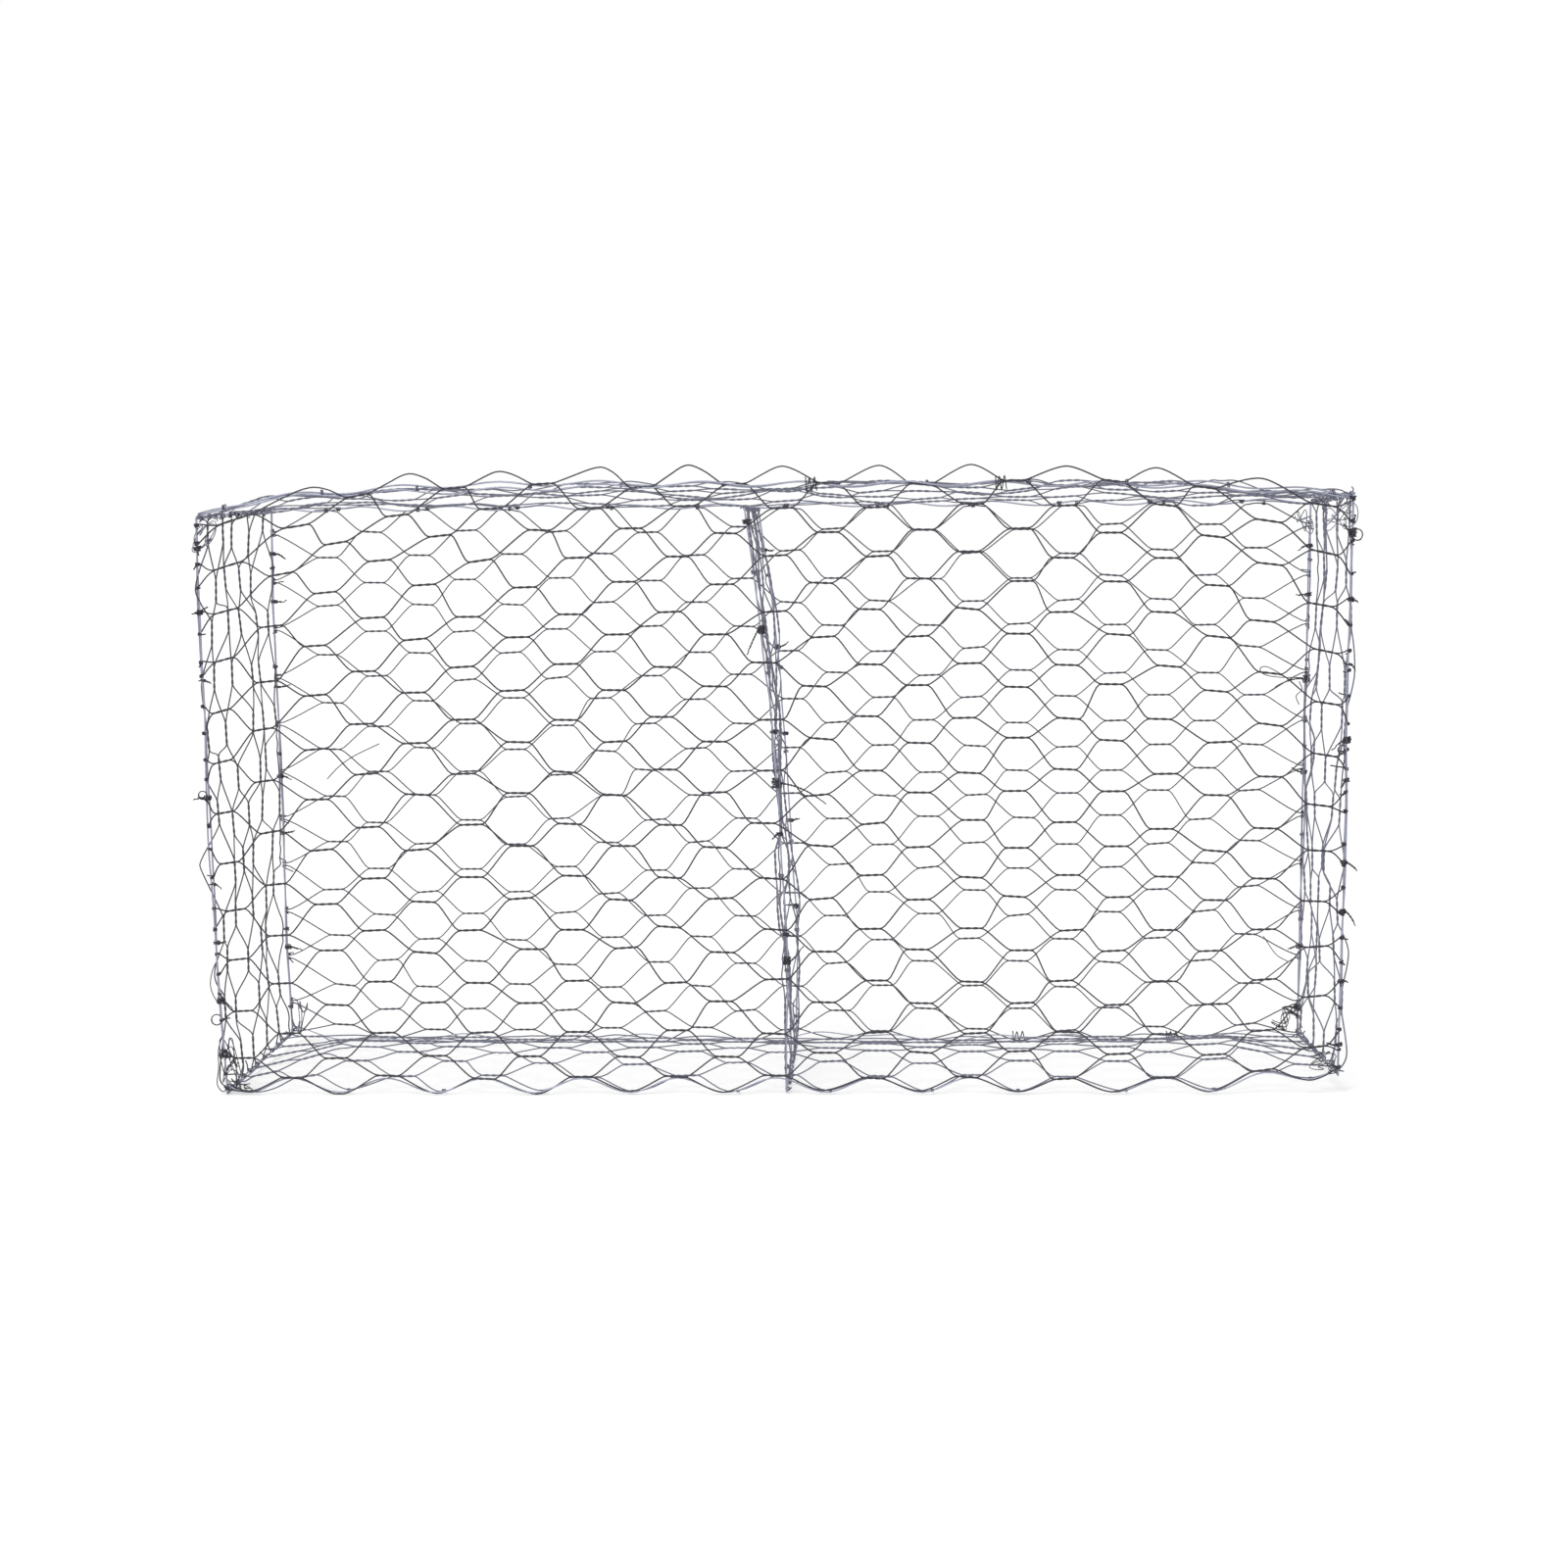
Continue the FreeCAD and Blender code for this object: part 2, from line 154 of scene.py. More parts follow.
def zinc(name, colour, rough):
    """Dull zinc coating with faint spangle and darker weathered spots."""
    material = bpy.data.materials.new(name)
    material.use_nodes = True
    nodes, links = material.node_tree.nodes, material.node_tree.links
    shader = nodes["Principled BSDF"]
    shader.inputs["Metallic"].default_value = METAL
    place = nodes.new("ShaderNodeTexCoord")
    spangle = nodes.new("ShaderNodeTexVoronoi")
    spangle.inputs["Scale"].default_value = SPANGLE_SCALE
    weather = nodes.new("ShaderNodeTexNoise")
    weather.inputs["Scale"].default_value = WEATHER_SCALE
    weather.inputs["Detail"].default_value = 4.0
    for texture in (spangle, weather):
        links.new(place.outputs["Object"], texture.inputs["Vector"])
    shade = nodes.new("ShaderNodeMix")
    shade.data_type = "RGBA"
    shade.inputs[6].default_value = (*[DARKEST * c for c in colour], 1.0)
    shade.inputs[7].default_value = (*[LIGHTEST * c for c in colour], 1.0)
    blend = nodes.new("ShaderNodeMath")
    blend.operation = "MULTIPLY_ADD"
    blend.inputs[1].default_value = SPANGLE_SHARE
    links.new(spangle.outputs["Distance"], blend.inputs[0])
    links.new(weather.outputs["Fac"], blend.inputs[2])
    links.new(blend.outputs[0], shade.inputs[0])
    links.new(shade.outputs[2], shader.inputs["Base Color"])
    dull = nodes.new("ShaderNodeMapRange")
    dull.inputs["To Min"].default_value = rough - SMOOTHER
    dull.inputs["To Max"].default_value = rough + ROUGHER
    links.new(weather.outputs["Fac"], dull.inputs["Value"])
    links.new(dull.outputs["Result"], shader.inputs["Roughness"])
    return material


# A coating for each slot, and two paler ones for the sheets behind and beside the front.
FINISH = {
    "mesh": zinc("mesh_zinc", (0.048, 0.048, 0.058), 0.45),
    "far_mesh": zinc("far_mesh_zinc", (0.080, 0.081, 0.098), 0.45),
    "pale_mesh": zinc("pale_mesh_zinc", (0.155, 0.160, 0.205), 0.42),
    "edge": zinc("edge_zinc", (0.30, 0.31, 0.385), 0.42),
    "tie": zinc("tie_zinc", (0.050, 0.050, 0.062), 0.50),
}


# Wires as tubes. Points closer than NO_STEP count as one, and no wire runs along ASLANT.
NO_STEP = 1e-6
ASLANT = (0.31, 0.87, 0.39)


def tube(line, radius, sides):
    """Corners and faces of a round wire along a line of points."""
    line = np.asarray(line, float)
    step = np.diff(line, axis=0)
    line = line[np.concatenate([[True], np.linalg.norm(step, axis=1) > NO_STEP])]
    step = np.diff(line, axis=0)
    step /= np.linalg.norm(step, axis=1)[:, None]
    lead = np.vstack([step[:1], step[:-1] + step[1:], step[-1:]])
    lead /= np.linalg.norm(lead, axis=1)[:, None]
    side = np.cross(lead[0], ASLANT)
    around = np.arange(sides)
    angle = around * TURN / sides
    cos, sin = np.cos(angle)[:, None], np.sin(angle)[:, None]
    corners = np.empty((len(line), sides, 3))
    for i, (point, along) in enumerate(zip(line, lead)):
        side = side - along * side.dot(along)
        side = side / math.sqrt(side.dot(side))
        other = np.cross(along, side)
        corners[i] = point + radius * (cos * side + sin * other)
    after = (around + 1) % sides
    first = (np.arange(len(line) - 1) * sides)[:, None]
    second = first + sides
    faces = np.stack([first + around, first + after, second + after, second + around], 2)
    last = (len(line) - 1) * sides
    caps = [list(around[::-1]), list(last + around)]
    return corners.reshape(-1, 3), faces.reshape(-1, 4), caps


def piece(name, body, slot, wires, replaces=(), sides=6, finish=None):
    """One object made of wires, each a pair of a line and a radius."""
    corners, faces, start = [], [], 0
    for line, radius in wires:
        points, quads, caps = tube(line, radius, sides)
        corners.append(points)
        faces += (quads + start).tolist()
        faces += [[int(i) + start for i in cap] for cap in caps]
        start += len(points)
    mesh = bpy.data.meshes.new(name)
    mesh.from_pydata(np.vstack(corners).tolist(), [], faces)
    mesh.polygons.foreach_set("use_smooth", [len(f) == 4 for f in faces])
    mesh.update()
    made = bpy.data.objects.new(name, mesh)
    bpy.context.scene.collection.objects.link(made)
    mesh.materials.append(FINISH[finish or slot])
    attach(made, body)
    if replaces:
        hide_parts(*replaces)


def bend(a, b, lead_a, lead_b, steps):
    """Points of a smooth bend between two ends, without the ends."""
    s = np.linspace(0, 1, steps + 1)[1:-1, None]
    return (
        (2 * s**3 - 3 * s**2 + 1) * a
        + (s**3 - 2 * s**2 + s) * lead_a
        + (3 * s**2 - 2 * s**3) * b
        + (s**3 - s**2) * lead_b
    )


def smooth(points):
    """A smooth line through a few points."""
    points = np.array(points, float)
    leads = np.gradient(points, axis=0)
    line = [points[:1]]
    for a, b, lead_a, lead_b in zip(points, points[1:], leads, leads[1:]):
        line += [bend(a, b, lead_a, lead_b, BEND_STEPS), b[None]]
    return np.vstack(line)


# The weave, in sheet terms: along the twists, across them, and out of the sheet. Turned
# ends: how many turns, how far each climbs, the share that has no loose tip, how far a
# tip stands off and how far it bows.
END_TURNS = (1.3, 2.3)
CLIMB = 0.0030
CUT_SHORT = 0.35
TIP_REACH = (0.006, 0.014)
TIP_BOW = 0.0015


def turns_round(random, along, across, heading, away_from=0, cut_short=False):
    """A wire's end wound round the edge wire; its last point leaves on one side."""
    turns = random.uniform(*END_TURNS)
    angle = np.linspace(-TURN * turns, 0, int(turns * EDGE_TURN_POINTS) + 1)
    reach = EDGE + MESH
    side = random.choice([-1, 1])
    climb = (-away_from or random.choice([-1, 1])) * CLIMB
    wound = np.stack(
        [
            along + heading * reach * np.sin(angle),
            across + climb * angle / TURN,
            side * reach * np.cos(angle),
        ],
        1,
    )
    tip = random.normal(0, 1, 3)
    if random.uniform() < CUT_SHORT or cut_short:
        return wound
    away = wound[0] - wound[1]
    away = away / np.linalg.norm(away) + 0.6 * tip / np.linalg.norm(tip)
    away[0] += 0.5 * heading
    far = wound[0] + away * random.uniform(*TIP_REACH)
    bow = (wound[0] + far) / 2 + TIP_BOW * tip
    return np.vstack([far, bow, wound])


def twisted(centre, tilt, side, half_turns=3):
    """One of the two wires of a double twist. Three half turns make them change sides."""
    s = np.linspace(-0.5, 0.5, TWIST_POINTS)
    angle = side * math.pi / 2 + half_turns * math.pi * (s + 0.5)
    along, across = s * TWIST, STRAND_OFF * np.sin(angle)
    return centre + np.stack(
        [
            along * math.cos(tilt) - across * math.sin(tilt),
            along * math.sin(tilt) + across * math.cos(tilt),
            STRAND_OFF * np.cos(angle),
        ],
        1,
    )


def woven(random, columns, levels, ends, slack, phase, flat, stand, short_at_top=False):
    """Lines of a sheet of hexagonal double twist mesh whose ends wrap two edge wires.

    Each wire keeps to a lane between two levels and crosses into the next lane at each
    twist. flat says which of the low and high borders lie along an edge wire, and stand
    how far the loops of the other borders stand out of the sheet. short_at_top leaves
    no loose ends near the high border, for a sheet that turns there.
    """
    top = len(levels) - 1
    # Far from the last twist, an edge wire has the ends of two wires in place of the next.
    paired = columns[0] - ends[0] > 0.8 * PITCH

    def at_end(lane, column, end, heading):
        """A wire's end wound round an edge wire, and how strongly it leaves from there."""
        if not paired:
            level = (levels[lane] + levels[lane + 1]) / 2 + random.normal(0, END_SPREAD)
            short = lane > top - 4 and short_at_top
            return turns_round(random, end, level, heading, cut_short=short), END_LEAD
        near = lane if (lane + column + phase) % 2 == 0 else lane + 1
        above = 1 if near == lane else -1
        return turns_round(random, end, levels[near] + above * MESH, heading, above), PAIR_LEAD

    spots = {}
    for j, along in enumerate(columns):
        for k in range((j + phase) % 2, top + 1, 2):
            out = {0: stand[0], top: stand[1]}.get(k, 0.0)
            spots[j, k] = (
                np.array([along, levels[k], out]) + random.normal(0, 1, 3) * slack,
                random.normal(0, TILT_SPREAD),
            )
    lines = []
    for first in range(top):
        lane = first
        line, pull = at_end(lane, -1, ends[0], 1)
        lead = np.array([pull, 0, 0])
        for j in range(len(columns)):
            k = lane if (lane + j + phase) % 2 == 0 else lane + 1
            centre, tilt = spots[j, k]
            open_loop = k in (0, top) and not flat[1 if k else 0]
            if open_loop:
                part = centre[None]
                arrive = leave = np.array([LOOP_LEAD, 0, 0])
                lane = min(k, top - 1)
            elif k in (0, top):
                side = -1 if k else 1
                part = twisted(centre, tilt, side, 2)
                arrive = np.array([FLAT_LEAD, -FLAT_CROSS * side, 0])
                leave = arrive * [1, -1, 1]
                lane = min(k, top - 1)
            else:
                side = 1 if lane == k else -1
                part = twisted(centre, tilt, side)
                arrive = leave = np.array([SLANT_LEAD, -SLANT_CROSS * side, 0])
                lane = k - 1 if lane == k else k
            steps = LOOP_STEPS if open_loop or lead[0] == LOOP_LEAD else BEND_STEPS
            line = np.vstack([line, bend(line[-1], part[0], lead, arrive, steps), part])
            lead = leave
        tail, pull = at_end(lane, len(columns), ends[1], -1)
        tail = tail[::-1]
        last_bend = bend(line[-1], tail[0], lead, np.array([pull, 0, 0]), BEND_STEPS)
        lines.append(np.vstack([line, last_bend, tail]))
    return lines


# The turns round a sheet's border: how many, how far they reach, how far on each goes,
# and how far they stray from their twist.
BORDER_TURNS = (1.6, 2.6)
BORDER_REACH = 0.0042
BORDER_ADVANCE = 0.0026
BORDER_SPREAD = 0.008


def border_turns(random, columns, level, keep, across, out):
    """Short turns that hold a sheet's border to a straight wire beside it.

    They are at every other column. across and out say how far off that wire is, and
    the turns have their middle halfway to it.
    """
    made = []
    for j, along in enumerate(columns):
        if j % 2 != keep:
            continue
        turns = random.uniform(*BORDER_TURNS)
        angle = np.linspace(0, TURN * turns, int(turns * EDGE_TURN_POINTS))
        angle = angle + random.uniform(0, 6)
        here = along + random.normal(0, BORDER_SPREAD)
        made.append(
            np.stack(
                [
                    here + BORDER_ADVANCE * (angle - angle[0]) / TURN,
                    level + across * 0.5 + BORDER_REACH * np.cos(angle),
                    out * 0.5 + BORDER_REACH * np.sin(angle),
                ],
                1,
            )
        )
    return made


# How the basket stands. Shares of the length: the left front edge stands out, less so
# low down, where all sides are drawn in. In metres: how far the lower corners are
# lifted and the top front corners moved, and how far from the middle each sets in.
LEFT_OUT = 0.024
LEFT_OUT_LOST = 0.012
DRAWN_IN = 0.016
REAR_LEFT_LIFT = 0.018
REAR_RIGHT_LIFT = 0.014
FRONT_RIGHT_MORE = 0.020
LEFT_CORNER_MOVE = -0.014
RIGHT_CORNER_MOVE = 0.012
LIFT_FROM = 0.7
CORNER_FROM = 0.86


def arch(x):
    """1 in the middle of the long side, falling to 0 at its ends."""
    return 1 - np.minimum(np.abs(x) / MESH_END, 1) ** 6


def toward_ends(x, start):
    """0 up to start, then growing to 1 at 1 m from the middle."""
    return np.clip((np.abs(x) - start) / (1 - start), 0, 1) ** 2


def settle(x, y, z):
    """Points of the true basket, moved to where the sagging one has them."""
    low = np.clip(1 - z / TALL, 0, 1)
    fore = np.clip(0.5 - y / (2 * SHEET), 0, 1)
    left_pull = fore * (LEFT_OUT - LEFT_OUT_LOST * low**2) - DRAWN_IN * low**2
    pull = np.where(x < 0, left_pull, -DRAWN_IN * low)
    right_lift = REAR_RIGHT_LIFT + FRONT_RIGHT_MORE * fore
    lift = np.where(x < 0, REAR_LEFT_LIFT * (1 - fore), right_lift)
    lift = lift * low**2 * toward_ends(x, LIFT_FROM)
    top_corner = toward_ends(x, CORNER_FROM) * fore * (1 - low) ** 6
    lift += np.where(x < 0, LEFT_CORNER_MOVE, RIGHT_CORNER_MOVE) * top_corner
    return np.stack([x * (1 + pull), y, np.maximum(z + lift, MESH)], 1)


def settled(line):
    """A line of points of the true basket, moved likewise."""
    return settle(*line.T)


def swell(a, b, size):
    """Slow uneven bulge of a sheet, nothing at its borders."""
    hold = np.sin(math.pi * np.clip(a, 0, 1)) ** 0.5 * np.sin(math.pi * np.clip(b, 0, 1)) ** 0.5
    wave = 0.6 * np.sin(7.0 * a + 1.3) + 0.5 * np.sin(11.0 * a + 6.0 * b) + 0.4 * np.sin(9.0 * b)
    return size * hold * wave


# How far the divider leans to the right, by height.
LEAN_AT = [0.0, 0.24, 0.53, 0.71, 0.856, 1.05]
LEAN = [0.009, 0.011, -0.003, -0.013, -0.032, -0.057]


def divider_lean(z):
    return np.interp(z, LEAN_AT, LEAN)


# How far the front sheet's columns lie aside, halfway up and at the open top loops.
# The change to the latter sets in at a height and takes ASIDE_OVER more of it.
ASIDE_FROM = 0.72
ASIDE_OVER = 0.38
ASIDE_AT = [-0.998, -0.87, -0.61, -0.26, -0.09, 0.09, 0.61, 0.80, 0.998]
ASIDE_HALFWAY = [0.0, -0.026, -0.026, -0.021, -0.026, -0.013, -0.016, -0.009, 0.0]
ASIDE_TOP = [0.0, 0.072, 0.060, 0.036, 0.020, 0.006, -0.026, -0.037, 0.0]


def aside(u, v):
    """How far a point of the front sheet lies aside."""
    near_top = np.clip((v - ASIDE_FROM) / ASIDE_OVER, 0, 1) ** 1.6
    halfway = (0.5 + 0.5 * np.clip(v / 0.65, 0, 1)) * (1 - near_top)
    shift = halfway * np.interp(u, ASIDE_AT, ASIDE_HALFWAY)
    return shift + near_top * np.interp(u, ASIDE_AT, ASIDE_TOP)


# How far the sheets swell, the ends sway and the lid's mesh lies up. The functions say
# where each sheet has a point that lies at u along its twists, v across and w out.
FRONT_SWELL = 0.006
BACK_SWELL = 0.007
BASE_SWELL = 0.004
END_SWELL = 0.015
DIVIDER_SWELL = 0.020
END_SWAY = 0.006
LID_LIFT = 0.004


def front_place(u, v, w):
    rise = v * (TALL / CROWN + (1 - TALL / CROWN) * arch(u))
    out = w + swell((u + SIDE) / (2 * SIDE), v / CROWN, FRONT_SWELL)
    return settle(u + aside(u, v), -SHEET - out, rise)


def back_place(u, v, w):
    out = w + swell((SIDE - u) / (2 * SIDE), v / TALL, BACK_SWELL)
    return settle(u, SHEET + out, v)


# The base mesh springs up behind its front edge, by depth.
BASE_AT = [-RAIL, -0.20, -0.15, -0.105, 0.0, 0.12, RAIL]
BASE_RISE = [0.0, 0.018, 0.038, 0.048, 0.046, 0.024, 0.008]


def base_place(u, v, w):
    inner = np.clip(6 * (1 - np.abs(u) / SIDE), 0, 1)
    uneven = swell((u + SIDE) / 2, v + 0.5, BASE_SWELL)
    rise = inner * (np.interp(v, BASE_AT, BASE_RISE) + uneven)
    return settle(u, v, FLAT + MESH + np.abs(w) + np.maximum(rise, 0))


def lid_rise(u, v):
    """How far the lid bows up, most at the middle of its front edge."""
    fore = (SHEET - v) / (2 * SHEET)
    return BOW * arch(u) * np.clip(fore, 0, 1.02)


def lid_place(u, v, w):
    hold = np.sin(math.pi * np.clip((v + RAIL) / (2 * RAIL), 0, 1))
    hold = hold * np.clip(16 * (1 - np.abs(u) / SIDE), 0, 1)
    wave = 0.004 * np.sin(13.0 * u + 9.0 * v) + 0.005 * np.sin(23.0 * u - 14.0 * v + 2.0)
    return settle(u, v, LID + w + lid_rise(u, v) + hold * (wave + LID_LIFT))


def end_place(sign):
    """The place function of the end panel on one side, -1 for left and 1 for right."""

    def place(u, v, w):
        out = w + swell(u / TALL, (v + RAIL) / (2 * RAIL), END_SWELL)
        sway = END_SWAY * np.sin(17.0 * u + 9.0 * v) * np.cos(math.pi * v / (2 * SHEET))
        return settle(sign * (SIDE + out), v + sway, u)

    return place


def divider_place(u, v, w):
    out = w + swell(u / TALL, (v + RAIL) / (2 * RAIL), DIVIDER_SWELL)
    return settle(out + divider_lean(u), v, u)


def sheet(
    name, body, seed, columns, levels, ends, slack, place, phase=0, flat=(True, True),
    stand=(0.0, 0.0), borders=(), finish="far_mesh", radius=MESH,
):
    """A woven sheet. borders lists the borders that have turns: end, across and out."""
    random = np.random.default_rng(seed)
    lines = woven(random, columns, levels, ends, slack, phase, flat, stand, body == "lid")
    wires = [(place(*line.T), radius) for line in lines]
    for end, across, out in borders:
        # Turns go where the border has its twists, which is at every other column.
        keep = phase if end == 0 else (len(levels) - 1 + phase) % 2
        for line in border_turns(random, columns, levels[end], keep, across, out):
            wires.append((place(*line.T), LACE))
    piece(name + "_mesh", body, "mesh", wires, [name], finish=finish)


# Columns of twists along each sheet, and the levels of its twists across it. Every
# other inner level of the front sheet is 6 mm lower.
def spread(centre, count, pitch):
    """Places at an even pitch on both sides of a centre."""
    return centre + (np.arange(count) - (count - 1) / 2) * pitch


LONG = spread(0.0, 23, PITCH)
BEHIND = spread(0.001, 21, 0.0896)
UPRIGHT = spread((END_LOW + END_HIGH) / 2, 12, PITCH)
DIVIDER_UPRIGHT = spread((END_LOW + DIVIDER_HIGH) / 2, 12, PITCH - 0.0003)

inner_levels = 0.0718 + STEP * np.arange(19) - 0.006 * (np.arange(19) % 2)
front_levels = np.concatenate(
    [[0.003, 0.031], inner_levels, [0.955, 0.999, 1.042, 1.083, CROWN - MESH]]
)
back_levels = np.concatenate([[0.004, 0.026], 0.066 + 0.0467 * np.arange(21), [TALL - 0.002]])
base_levels = np.linspace(-RAIL + 0.002, RAIL - 0.003, 12)
end_levels = np.linspace(-RAIL + 0.003, RAIL - 0.003, 11)
lid_levels = np.linspace(-RAIL + 0.003, SHEET - 0.004, 12)

# How far the twists stray along, across and out of a sheet that is even, loose or sprung.
EVEN = np.array([0.0040, 0.0026, 0.0018])
LOOSE = np.array([0.0060, 0.0045, 0.0040])
SPRUNG = np.array([0.0100, 0.0080, 0.0060])

SIDES = (-SIDE, SIDE)
LOW_BORDER = (0, -0.003, 0)
HIGH_BORDER = (-1, 0.003, 0)

sheet(
    "front_panel", "basket", 11, LONG, front_levels, SIDES, EVEN, front_place,
    flat=(False, False), finish="mesh", radius=FRONT_MESH,
)
sheet(
    "back_panel", "basket", 12, BEHIND, back_levels, SIDES, EVEN, back_place, phase=1,
    flat=(False, True), borders=[(-1, 0.004, -0.002)], radius=THIN_MESH,
)
sheet(
    "base_panel", "basket", 13, LONG, base_levels, SIDES, EVEN, base_place,
    flat=(False, False), borders=[LOW_BORDER], finish="pale_mesh", radius=THIN_MESH,
)
sheet(
    "lid_panel", "lid", 14, LONG, lid_levels, SIDES, LOOSE, lid_place,
    borders=[LOW_BORDER], finish="pale_mesh", radius=LID_MESH,
)
for name, seed, sign, finish in (
    ("left_end_panel", 15, -1, "far_mesh"),
    ("right_end_panel", 16, 1, "pale_mesh"),
):
    sheet(
        name, "basket", seed, UPRIGHT, end_levels, (END_LOW, END_HIGH), SPRUNG,
        end_place(sign), flat=(False, True), stand=(0.009, 0.0), borders=[HIGH_BORDER],
        finish=finish,
    )
sheet(
    "diaphragm_panel", "basket", 17, DIVIDER_UPRIGHT, end_levels, (END_LOW, DIVIDER_HIGH),
    SPRUNG, divider_place, borders=[LOW_BORDER, HIGH_BORDER], finish="pale_mesh",
)


# Straight edge wires, each a little bent, along the middle of its wire in the frame.
# They wander in three waves, and WAVES is how many of each there are along a wire.
POINT_SPACING = 0.014
WANDER = 0.0028
STEADY_WANDER = 0.0008
WAVES = (1.3, 2.9, 6.1)

# In metres: the height of the front's lower border wire, how far its scallops go and
# how far it stands out, how far a woven wire waves up and back, and how far the rear's
# lower one springs up.
SCALLOP_HEIGHT = 0.017
SCALLOP = 0.013
SCALLOP_OUT = 0.003
WAVE_UP = 0.0045
WAVE_BACK = 0.0020
SPRING = 0.013


def bent_wire(node, random, wander, place):
    """The middle line of a node's wire, wandering between its ends."""
    low, high = (np.array(corner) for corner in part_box(node))
    run = int(np.argmax(high - low))
    length = high[run] - low[run]
    s = np.linspace(0, 1, int(length / POINT_SPACING))
    line = np.tile((low + high) / 2, (len(s), 1))
    line[:, run] = low[run] + length * s
    # Its ends stay in place, and it is free from a sixth of its length on.
    hold = np.minimum(1, 6 * np.minimum(s, 1 - s))
    for axis in range(3):
        if axis == run:
            continue
        for waves in WAVES:
            size = wander * length**0.5 / waves
            line[:, axis] += hold * size * np.sin(TURN * waves * s + random.uniform(0, 6))
    return place(line)


def arched(line):
    """A wire that bows up with the lid."""
    line = line.copy()
    line[:, 2] += lid_rise(line[:, 0], line[:, 1])
    return settled(line)


def scalloped(line):
    """The front's lower border wire runs with the mesh's open loops."""
    line = line.copy()
    line[:, 2] = SCALLOP_HEIGHT + SCALLOP * np.cos(math.pi * line[:, 0] / PITCH)
    line[:, 1] -= SCALLOP_OUT
    line[:, 0] += aside(line[:, 0], 0.0)
    return settled(line)


def waved(line):
    """A wire that follows the mesh it is woven through, and is in place at every coil."""
    line = line.copy()
    line[:, 2] += WAVE_UP * np.sin(math.pi * line[:, 0] / PITCH)
    line[:, 1] += WAVE_BACK * np.sin(math.pi * line[:, 0] / PITCH)
    return arched(line)


def springing(line):
    """The rear's lower wire, pushed up here and there."""
    line = line.copy()
    line[:, 2] += SPRING * np.sin(2.6 * math.pi * line[:, 0] + 0.7) ** 2
    return waved(line)


def leaning(line):
    """A wire of the divider."""
    line = line.copy()
    line[:, 0] += divider_lean(line[:, 2])
    return settled(line)


def way_of(node):
    """The function that puts a straight wire in its place."""
    if node.startswith("diaphragm"):
        return leaning
    if node == "front_bottom_wire":
        return scalloped
    if node == "back_bottom_wire":
        return springing
    if node in ("front_top_wire", "lid_front_wire", "hinge_wire"):
        return waved
    if node.startswith("lid"):
        return arched
    return settled


THIN_EDGES = {"front_bottom_wire": MESH, "back_bottom_wire": LACE}
STEADY = ("hinge_wire", "lid_left_wire", "lid_right_wire")
bends = np.random.default_rng(31)
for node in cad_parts:
    if node.endswith("_wire"):
        wander = STEADY_WANDER if node in STEADY else WANDER
        line = bent_wire(node, bends, wander, way_of(node))
        body = "lid" if node.startswith("lid") else "basket"
        wires = [(line, THIN_EDGES.get(node, STRAIGHT))]
        piece(node + "_bent", body, "edge", wires, [node], sides=8)


# Ties of lacing wire: turns round a bundle, the two ends twisted into a tail. In
# metres: how far on each turn goes, of a tie and of an open ring, and the tail's
# length for one twist. In shares: the turns' roughness, the tail's droop, and how
# much of the tail its shorter end reaches.
TIE_ADVANCE = 0.0027
RING_ADVANCE = 0.0024
TAIL_TWIST = 0.011
TIE_ROUGHNESS = 0.16
TAIL_DROOP = (-0.3, 0.5)
SHORTER_END = (0.5, 0.95)
TAIL_POINTS = 15


def tie(random, at, along, reach, turns, tail, point):
    """One tie. along is the bundle's direction, point the tail's, tail its length."""
    at, along, point = (np.array(v, float) for v in (at, along, point))
    along /= np.linalg.norm(along)
    point /= np.linalg.norm(point)
    side = point - along * along.dot(point)
    side /= np.linalg.norm(side)
    other = np.cross(along, side)
    angle = np.linspace(0, TURN * turns, int(turns * TIE_TURN_POINTS) + 1)
    rough = 1 + TIE_ROUGHNESS * np.sin(1.7 * angle + random.uniform(0, 6))
    rise = (angle / TURN - turns / 2) * TIE_ADVANCE
    loop = (
        at
        + rise[:, None] * along
        + (reach * rough * np.cos(angle))[:, None] * side
        + (reach * rough * np.sin(angle))[:, None] * other
    )
    s = np.linspace(0, 1, TAIL_POINTS)[:, None]
    droop = np.array([0, 0, -1]) * random.uniform(*TAIL_DROOP) * tail
    spine = at + side * reach * 1.2 + point * tail * s + droop * s**2
    twist = TURN * (tail / TAIL_TWIST) * s
    sway = LACE * (np.cos(twist) * along + np.sin(twist) * other)
    cut = int(TAIL_POINTS * random.uniform(*SHORTER_END))
    return np.vstack([(spine + sway)[:cut][::-1], loop, spine - sway])


def ring(at, normal, reach, turns):
    """Open turns of wire that stand beside a bundle."""
    at, normal = np.array(at, float), np.array(normal, float)
    normal /= np.linalg.norm(normal)
    side = np.cross(normal, [0.2, 0.3, 0.93])
    side /= np.linalg.norm(side)
    other = np.cross(normal, side)
    angle = np.linspace(0, TURN * turns, int(turns * TIE_TURN_POINTS) + 1)
    return (
        at
        + (reach * np.cos(angle))[:, None] * side
        + (reach * np.sin(angle))[:, None] * other
        + (RING_ADVANCE * angle / TURN)[:, None] * normal
    )


def tie_set(node, seed, ties, knots, rings=()):
    """The node's own ties at their heights, and the other knots on the same edge."""
    random = np.random.default_rng(seed)
    wires = [(settled(tie(random, *one)), LACE) for one in ties]
    piece(node + "_wound", "basket", "tie", wires, [node])
    wires = [(settled(tie(random, *one)), LACE) for one in knots]
    wires += [(settled(line), LACE) for line in rings]
    piece(node.replace("ties", "knots"), "basket", "tie", wires)


# Ties at the corners and the divider's edges are CORNER from the middle of the depth.
UP = (0, 0, 1)
CORNER = 0.2465


